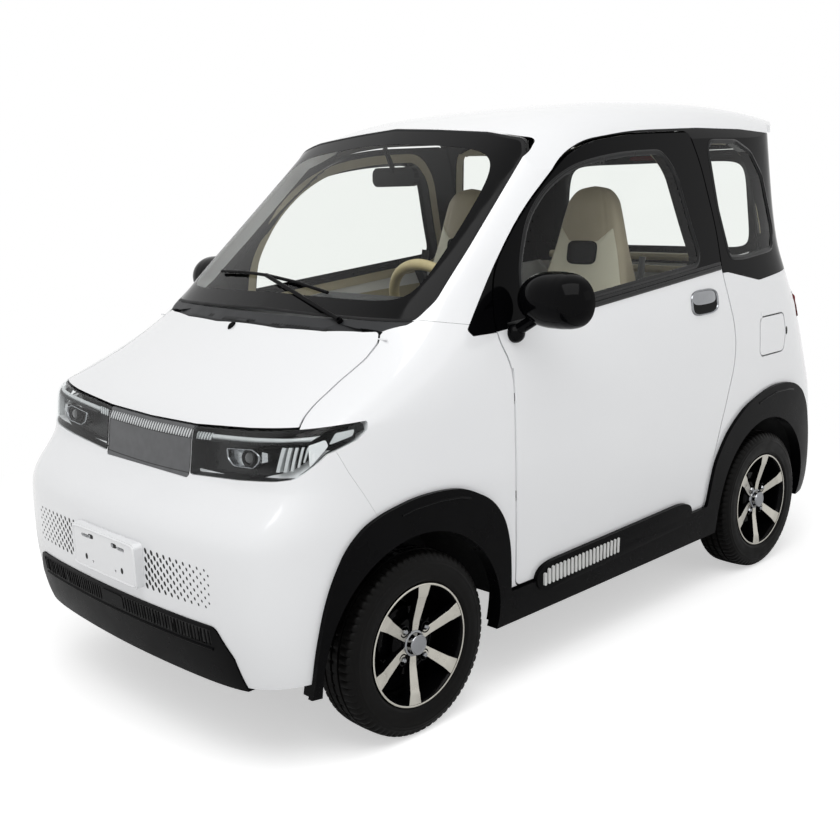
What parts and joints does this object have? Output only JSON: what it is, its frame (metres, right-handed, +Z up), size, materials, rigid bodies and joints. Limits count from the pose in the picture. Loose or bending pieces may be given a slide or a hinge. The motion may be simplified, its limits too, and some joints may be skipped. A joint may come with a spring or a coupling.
{
  "type": "electric microcar",
  "caption": "Small closed city car with side doors, hood, tailgate, steered front wheels, glazed cabin and bucket seats.",
  "frame": {"origin": "centre of the whole car's box, at ground level under its tyres", "axes": "+Z up, -Y towards the nose, +X towards the car's own left side"},
  "size_m": [1.82, 2.8385, 1.7004],
  "materials": {
    "white_paint": "gloss",
    "gloss_black": "gloss",
    "satin_black": "satin",
    "window_glass": "gloss",
    "red_lens": "gloss",
    "frame_steel": "satin",
    "pack_case": "satin",
    "trim_plastic": "matte",
    "seat_fabric": "matte",
    "alloy": "machined",
    "tyre": "matte"
  },
  "bodies": {
    "body": {"fenders": "white_paint", "front_bumper": "white_paint", "quarter_panels": "white_paint", "rear_bumper": "white_paint", "roof_panel": "white_paint", "pillar_frame": "gloss_black", "lamp_panel": "gloss_black", "headlamps": "gloss_black", "side_cladding": "satin_black", "lower_grille": "satin_black", "cowl_panel": "satin_black", "wheel_liners": "satin_black", "plate_bracket": "satin_black", "wiper": "satin_black", "quarter_glass": "window_glass", "windscreen": "window_glass", "headlamp_lenses": "window_glass", "tail_lamps": "red_lens", "chassis_frame": "frame_steel", "front_subframe": "frame_steel", "front_struts": "frame_steel", "rear_axle": "frame_steel", "floor_pan": "frame_steel", "seat_bases": "frame_steel", "hinge_posts": "frame_steel", "battery_pack": "pack_case", "dashboard": "trim_plastic", "luggage_deck": "trim_plastic", "interior_mirror": "trim_plastic", "seats": "seat_fabric"},
    "hood": {"hood": "white_paint"},
    "tailgate": {"tailgate": "white_paint", "tailgate_frame": "gloss_black", "tailgate_glass": "window_glass"},
    "charge_flap": {"charge_flap": "white_paint"},
    "steering_wheel": {"steering_wheel": "trim_plastic"},
    "door_left": {"door_left_panel": "white_paint", "door_left_frame": "gloss_black", "door_left_glass": "window_glass", "door_left_mirror": "gloss_black"},
    "knuckle_left": {"knuckle_left": "frame_steel"},
    "wheel_front_left": {"rim_front_left": "alloy", "tyre_front_left": "tyre"},
    "wheel_rear_left": {"rim_rear_left": "alloy", "tyre_rear_left": "tyre"},
    "door_right": {"door_right_panel": "white_paint", "door_right_frame": "gloss_black", "door_right_glass": "window_glass", "door_right_mirror": "gloss_black"},
    "knuckle_right": {"knuckle_right": "frame_steel"},
    "wheel_front_right": {"rim_front_right": "alloy", "tyre_front_right": "tyre"},
    "wheel_rear_right": {"rim_rear_right": "alloy", "tyre_rear_right": "tyre"}
  },
  "joints": [
    {"name": "door_left_hinge", "type": "hinge", "parent": "body", "child": "door_left", "pos_m": [0.661, -0.478, 0.7], "axis": [0, 0, -1], "range_deg": [0, 60]},
    {"name": "steer_left", "type": "hinge", "parent": "body", "child": "knuckle_left", "pos_m": [0.545, -0.883, 0.17], "axis": [-0.1644, 0, 0.9864], "range_deg": [-30, 30]},
    {"name": "wheel_front_left_spin", "type": "hinge", "parent": "knuckle_left", "child": "wheel_front_left", "pos_m": [0.598, -0.883, 0.254], "axis": [1, 0, 0], "continuous": true},
    {"name": "wheel_rear_left_spin", "type": "hinge", "parent": "body", "child": "wheel_rear_left", "pos_m": [0.598, 0.883, 0.254], "axis": [1, 0, 0], "continuous": true},
    {"name": "door_right_hinge", "type": "hinge", "parent": "body", "child": "door_right", "pos_m": [-0.661, -0.478, 0.7], "axis": [0, 0, 1], "range_deg": [0, 60]},
    {"name": "steer_right", "type": "hinge", "parent": "body", "child": "knuckle_right", "pos_m": [-0.545, -0.883, 0.17], "axis": [0.1644, 0, 0.9864], "range_deg": [-30, 30]},
    {"name": "wheel_front_right_spin", "type": "hinge", "parent": "knuckle_right", "child": "wheel_front_right", "pos_m": [-0.598, -0.883, 0.254], "axis": [1, 0, 0], "continuous": true},
    {"name": "wheel_rear_right_spin", "type": "hinge", "parent": "body", "child": "wheel_rear_right", "pos_m": [-0.598, 0.883, 0.254], "axis": [1, 0, 0], "continuous": true},
    {"name": "steering_wheel_turn", "type": "hinge", "parent": "body", "child": "steering_wheel", "pos_m": [0.29, -0.4, 1.056], "axis": [0, 0.8988, 0.4384], "range_deg": [-450, 450]},
    {"name": "hood_hinge", "type": "hinge", "parent": "body", "child": "hood", "pos_m": [0, -0.85, 1.058], "axis": [-1, 0, 0], "range_deg": [0, 40]},
    {"name": "tailgate_hinge", "type": "hinge", "parent": "body", "child": "tailgate", "pos_m": [0, 1.138, 1.552], "axis": [1, 0, 0], "range_deg": [0, 65]},
    {"name": "charge_flap_hinge", "type": "hinge", "parent": "body", "child": "charge_flap", "pos_m": [0.667, 0.842, 0.868], "axis": [0, 0, -1], "range_deg": [0, 100]}
  ],
  "couplings": [
    {"joint": "steer_right", "follows": "steer_left", "ratio": 1},
    {"joint": "steering_wheel_turn", "follows": "steer_left", "ratio": 15}
  ]
}
